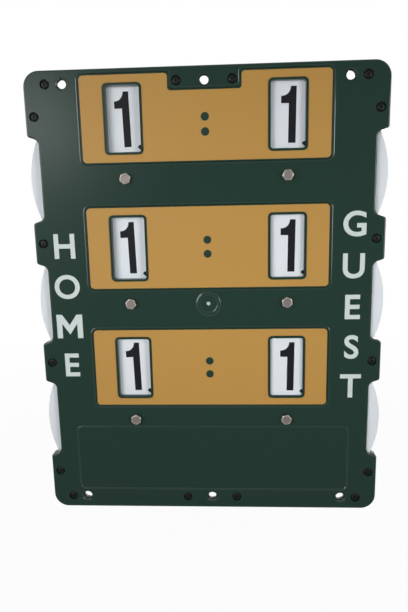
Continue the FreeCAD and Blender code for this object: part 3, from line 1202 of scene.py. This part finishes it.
def background_material(name, tone, bounced, shown):
    """Diffuse material that the camera sees partly as plain white, and other pieces as bounced."""
    material = bpy.data.materials.new(name)
    material.use_nodes = True
    tree = material.node_tree
    tree.nodes.clear()
    path = add(tree, "LightPath").outputs
    away = distance(tree, object_place(tree))
    slope = (1 - shown) / clear_distance
    share = maths(tree, "MULTIPLY_ADD", away, slope, shown, clamp=True)
    seen = maths(tree, "MULTIPLY", seen_rays(tree, path), share)
    tones = mixed(tree, path["Is Camera Ray"], bounced, tone)
    paint = add(tree, "BsdfDiffuse", {"Color": tones})
    glow = add(tree, "Emission", {"Strength": 1})
    mixed_shaders(tree, seen, paint, glow, "OutputMaterial")
    return material


# Stage


def studio_world():
    """White surroundings for the camera, and soft even light on the object."""
    world = bpy.data.worlds.new("studio")
    bpy.context.scene.world = world
    world.use_nodes = True
    tree = world.node_tree
    tree.nodes.clear()
    light = add(tree, "Background", {"Color": white, "Strength": world_strength})
    plain = add(tree, "Background", {"Color": white})
    rays = seen_rays(tree, add(tree, "LightPath").outputs)
    mixed_shaders(tree, rays, light, plain, "OutputWorld")


def softbox(name, place, size, power, spread):
    """Square area light that faces the board's centre, with a grid that narrows its light."""
    deselect()
    bpy.ops.object.light_add(type="AREA", location=place)
    lamp = bpy.context.object
    lamp.name = name
    lamp.data.name = name
    lamp.data.size = size
    lamp.data.energy = power
    lamp.data.spread = math.radians(spread)
    lamp.rotation_euler = (-Vector(place)).to_track_quat("-Z", "Y").to_euler()


def studio_floor():
    """Wide pale floor that the board stands on."""
    deselect()
    bpy.ops.mesh.primitive_plane_add(size=floor_size, location=(0, 0, -half_height))
    floor = bpy.context.object
    floor.name = "floor"
    bpy.ops.object.transform_apply(location=True, rotation=False, scale=False)
    pale = background_material("pale floor", floor_tone, floor_bounce, floor_shown)
    floor.data.materials.append(pale)


def camera():
    """Camera in front of the board, a little above its middle, that looks slightly down."""
    deselect()
    bpy.ops.object.camera_add()
    view = bpy.context.object
    view.name = "camera"
    view.data.name = "camera"
    across = Vector(camera_right)
    ahead = Vector(camera_ahead)
    turn = Matrix((across, across.cross(ahead), -ahead)).transposed()
    view.matrix_world = Matrix.Translation(camera_place) @ turn.to_4x4()
    view.data.sensor_fit = "VERTICAL"
    view.data.sensor_height = camera_film_height
    view.data.lens = camera_lens
    view.data.clip_start = camera_near
    bpy.context.scene.camera = view


# The scoreboard

moulded_grain_effect()
scuffs_effect()
turned_rings_effect()
slopes_effect()
worn_rim_effect()
cut_mark_effect()
green_tones = ((20, 47, 38), (16, 42, 34))
green_moulding = finish_material(
    "green moulding", *green_tones, roughness=0.25, rough_spread=0.06, bump=0.20,
    grain=2200.0, scuff=0.12, shine=0.16, polish=0.4,
)
# The light colour on the gate's middle dome is a painted highlight, not the plastic's own colour.
overlaid(green_moulding, "painted gate highlight", (168, 184, 178))
ochre_sheet = finish_material(
    "ochre sheet", (173, 132, 66), (167, 126, 61), roughness=0.45, rough_spread=0.08, bump=0.12,
    grain=1600.0, scuff=0.25, shine=0.25,
)
white_sheet = finish_material(
    "white sheet", (212, 217, 222), (205, 210, 215), roughness=0.38, rough_spread=0.08, bump=0.08,
    grain=900.0, shine=0.3,
)
black_ink = finish_material(
    "black ink", (17, 18, 22), (13, 14, 18), roughness=0.45, rough_spread=0.10, bump=0.10,
    scuff=0.2, shine=0.12,
)
white_ink = finish_material(
    "white ink", (194, 204, 203), (185, 195, 194), roughness=0.50, rough_spread=0.10, bump=0.15,
    shine=0.3,
)
dark_ink = finish_material(
    "dark green ink", *green_tones, roughness=0.50, rough_spread=0.10, bump=0.10, shine=0.16
)
dull_zinc = finish_material(
    "dull zinc", (112, 106, 102), (88, 83, 80), roughness=0.46, rough_spread=0.12, bump=0.20,
    metallic=1.0, grain=2600.0, scuff=0.8, rings=True,
)
# The lighter colour on the rims of the bolt heads and nuts is a painted highlight.
overlaid(dull_zinc, "painted rim highlight", (144, 138, 133))
black_zinc = finish_material(
    "black zinc", (13, 15, 14), (7, 9, 8), roughness=0.38, rough_spread=0.14, bump=0.15,
    grain=2600.0, scuff=0.3, rings=True, shine=0.14,
)
bush_steel = finish_material(
    "turned steel", (190, 190, 188), (165, 165, 163), roughness=0.30, rough_spread=0.12,
    bump=0.15, metallic=1.0, grain=2600.0,
)
washer_nylon = finish_material(
    "natural nylon", (218, 216, 205), (208, 206, 194), roughness=0.50, rough_spread=0.08,
    bump=0.10,
)

front = softened(front_cover())
back = softened(back_cover())
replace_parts(finished(front, green_moulding, "board"), "front_cover")
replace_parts(finished(back, green_moulding, "board"), "back_cover")
for row in rows:
    panel = finished(score_panel(row), ochre_sheet, "board")
    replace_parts(panel, "score_panel_" + row)
numbers = digits()
for place in places:
    node = "number_disc_%s_%s" % place
    disc = finished(number_disc(place), white_sheet, node)
    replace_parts(disc, node)
    finished(disc_print(place, numbers), black_ink, node)
bpy.data.objects.remove(numbers)
for side, text in words.items():
    finished(word(text, side), white_ink, "board")
finished(colon_dots(), dark_ink, "board")
for piece, material, node, slot in (
    (pivot_bolts(), dull_zinc, "pivot_bolts", "zinc_steel"),
    (pivot_nuts(), dull_zinc, "pivot_nuts", "zinc_steel"),
    (case_screws(), black_zinc, "case_screws", "black_screw"),
):
    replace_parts(finished(piece, material, "board"), node)
for place in places:
    for node, material in (("pivot_bush", bush_steel), ("friction_washers", washer_nylon)):
        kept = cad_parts["%s_%s_%s" % (node, *place)]
        kept.data.materials.clear()
        kept.data.materials.append(material)

studio_world()
for lamp in lamps:
    softbox(*lamp)
studio_floor()
camera()
bpy.context.scene.view_settings.view_transform = "Standard"
